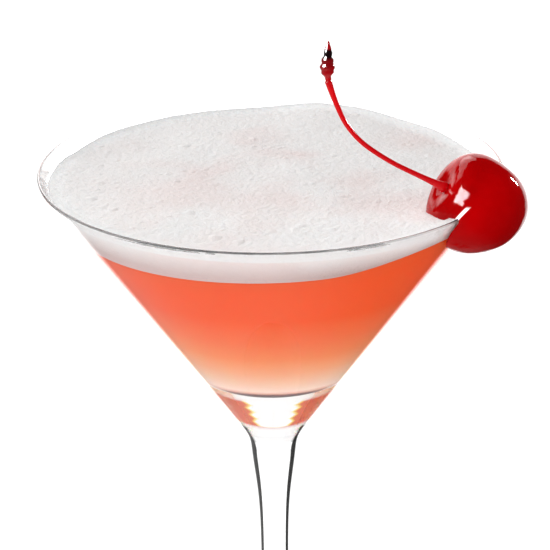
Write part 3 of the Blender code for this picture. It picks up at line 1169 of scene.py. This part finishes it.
bpy.ops.object.select_all(action="DESELECT")
bpy.ops.mesh.primitive_plane_add(size=studio["floorSize"], location=(0, 0, 0))
floor = named("floor")
material, tree, shader = newMaterial("whiteAcrylicTable")
shader.inputs["Base Color"].default_value = colour("b4b4b4")
shader.inputs["Roughness"].default_value = 0.6
shader.inputs["Emission Color"].default_value = colour("ffffff")
rays = addNode(tree, "ShaderNodeLightPath")
mirrored = addNode(
    tree,
    "ShaderNodeMath",
    {"operation": "GREATER_THAN"},
    {0: rays.outputs["Glossy Depth"], 1: rays.outputs["Diffuse Depth"]},
)
lit = addNode(
    tree,
    "ShaderNodeMix",
    {"data_type": "FLOAT"},
    {"Factor": rays.outputs["Is Camera Ray"], 2: studio["floorGlow"], 3: studio["floorSeen"]},
)
spot = addNode(tree, "ShaderNodeTexCoord").outputs["Object"]
fromFoot = addNode(tree, "ShaderNodeVectorMath", {"operation": "LENGTH"}, {0: spot})
mirroredGlow = addNode(  # dark under the foot, so that the bowl doesn't mirror it
    tree,
    "ShaderNodeMapRange",
    inputs={
        "Value": fromFoot.outputs["Value"],
        "From Min": 50 * mm,
        "From Max": 70 * mm,
        "To Min": 0.1,
    },
)
glow = addNode(
    tree,
    "ShaderNodeMix",
    {"data_type": "FLOAT"},
    {"Factor": mirrored.outputs["Value"], 2: lit.outputs[0], 3: mirroredGlow.outputs["Result"]},
)
tree.links.new(glow.outputs[0], shader.inputs["Emission Strength"])
floor.data.materials.append(material)
floor.visible_glossy = False

def softbox(name, target, sparkleOn=()):
    # a lamp that sparkles on some pieces only shows as their highlight and lights nothing else
    place = studio[name + "Place"]
    bpy.ops.object.light_add(type="AREA", location=place)
    lamp = named(name + "Softbox")
    lamp.data.shape = "RECTANGLE"
    lamp.data.size, lamp.data.size_y = studio[name + "Size"]
    lamp.data.energy = studio[name + "Power"]
    lamp.rotation_euler = (place - target).to_track_quat("Z", "Y").to_euler()
    lamp.visible_camera = False
    if sparkleOn:
        lamp.visible_diffuse = lamp.visible_transmission = False
        sparkling = bpy.data.collections.new(name + "Sparkle")
        for piece in sparkleOn:
            sparkling.objects.link(piece)
        lamp.light_linking.receiver_collection = sparkling

softbox("back", rimCentre)
bpy.context.object.visible_transmission = False  # the glass doesn't show the lamp's outline
softbox("window", cherryCentre, (cherry, stem))
softbox("glint", cherryCentre, (cherry, stem))

world = bpy.data.worlds.new("studio")
bpy.context.scene.world = world
world.use_nodes = True
tree = world.node_tree
background = tree.nodes["Background"]
look = addNode(tree, "ShaderNodeTexCoord").outputs["Generated"]
axes = addNode(tree, "ShaderNodeSeparateXYZ", inputs={"Vector": look})
# Mirrored in the gloss: a bright backdrop far behind, and a soft glow from the table on the left
above = addNode(tree, "ShaderNodeMath", {"operation": "MAXIMUM"}, {0: axes.outputs["Z"], 1: 0.0})
straightBehind = addNode(
    tree,
    "ShaderNodeMath",
    {"operation": "MULTIPLY_ADD"},
    {0: above.outputs["Value"], 1: -0.3, 2: axes.outputs["Y"]},
)
backdrop = addNode(
    tree,
    "ShaderNodeMapRange",
    {"interpolation_type": "SMOOTHSTEP"},
    {
        "Value": straightBehind.outputs["Value"],
        "From Min": 0.70,
        "From Max": 0.80,
        "To Min": 0.03,
        "To Max": 2.0,
    },
)
leftward = addNode(
    tree,
    "ShaderNodeMath",
    {"operation": "MULTIPLY_ADD"},
    {0: axes.outputs["X"], 1: 0.8, 2: axes.outputs["Z"]},
)
table = addNode(
    tree,
    "ShaderNodeMapRange",
    {"interpolation_type": "SMOOTHSTEP"},
    {"Value": leftward.outputs["Value"], "From Min": -0.45, "From Max": -1.1, "To Max": 0.4},
)
mirrored = addNode(
    tree,
    "ShaderNodeMath",
    {"operation": "ADD"},
    {0: backdrop.outputs["Result"], 1: table.outputs["Result"]},
)
# What lights the matt surfaces: a dim room, brighter from the front left
towardFill = addNode(
    tree,
    "ShaderNodeVectorMath",
    {"operation": "DOT_PRODUCT"},
    {0: look, 1: Vector((-0.75, -0.6, 0.28))},
)
fill = addNode(
    tree,
    "ShaderNodeMapRange",
    {"interpolation_type": "SMOOTHSTEP"},
    {
        "Value": towardFill.outputs["Value"],
        "From Min": 0.2,
        "From Max": 0.9,
        "To Min": 0.55,
        "To Max": 1.15,
    },
)
rays = addNode(tree, "ShaderNodeLightPath")
through = addNode(
    tree,
    "ShaderNodeMix",
    {"data_type": "FLOAT"},
    {
        "Factor": rays.outputs["Is Transmission Ray"],
        2: mirrored.outputs["Value"],
        3: studio["roomThrough"],
    },
)
lights = addNode(  # 1 for a ray that left a matt surface
    tree,
    "ShaderNodeMath",
    {"operation": "GREATER_THAN"},
    {0: rays.outputs["Diffuse Depth"], 1: 0.5},
)
seen = addNode(
    tree,
    "ShaderNodeMix",
    {"data_type": "FLOAT"},
    {"Factor": lights.outputs["Value"], 2: through.outputs[0], 3: fill.outputs["Result"]},
)
shown = addNode(
    tree,
    "ShaderNodeMix",
    {"data_type": "FLOAT"},
    {"Factor": rays.outputs["Is Camera Ray"], 2: seen.outputs[0], 3: studio["roomSeen"]},
)
tree.links.new(shown.outputs[0], background.inputs["Strength"])
background.inputs["Color"].default_value = colour("ffffff")

camera = {
    "distance": 0.7,
    "elevation": radians(19.55),
    "aim": Vector((0.0007, 0, -0.0255)),  # from the rim's centre
    "roll": radians(-0.58),
    "lens": 203.9,
}
upward = camera["elevation"]
eye = rimCentre + Vector((0, -cos(upward), sin(upward))) * camera["distance"]
bpy.ops.object.camera_add(location=eye)
viewer = named("camera")
viewer.data.lens = camera["lens"]
away = eye - (rimCentre + camera["aim"])
turn = away.to_track_quat("Z", "Y").to_matrix() @ Matrix.Rotation(camera["roll"], 3, "Z")
viewer.rotation_euler = turn.to_euler()
bpy.context.scene.camera = viewer
bpy.context.scene.view_settings.view_transform = "Standard"
# Light crosses the foot and the stem by many bounces, and with fewer they turn black
bpy.context.scene.cycles.glossy_bounces = 16
bpy.context.scene.cycles.transmission_bounces = 16
bpy.context.scene.cycles.max_bounces = 20
print("studio lit")
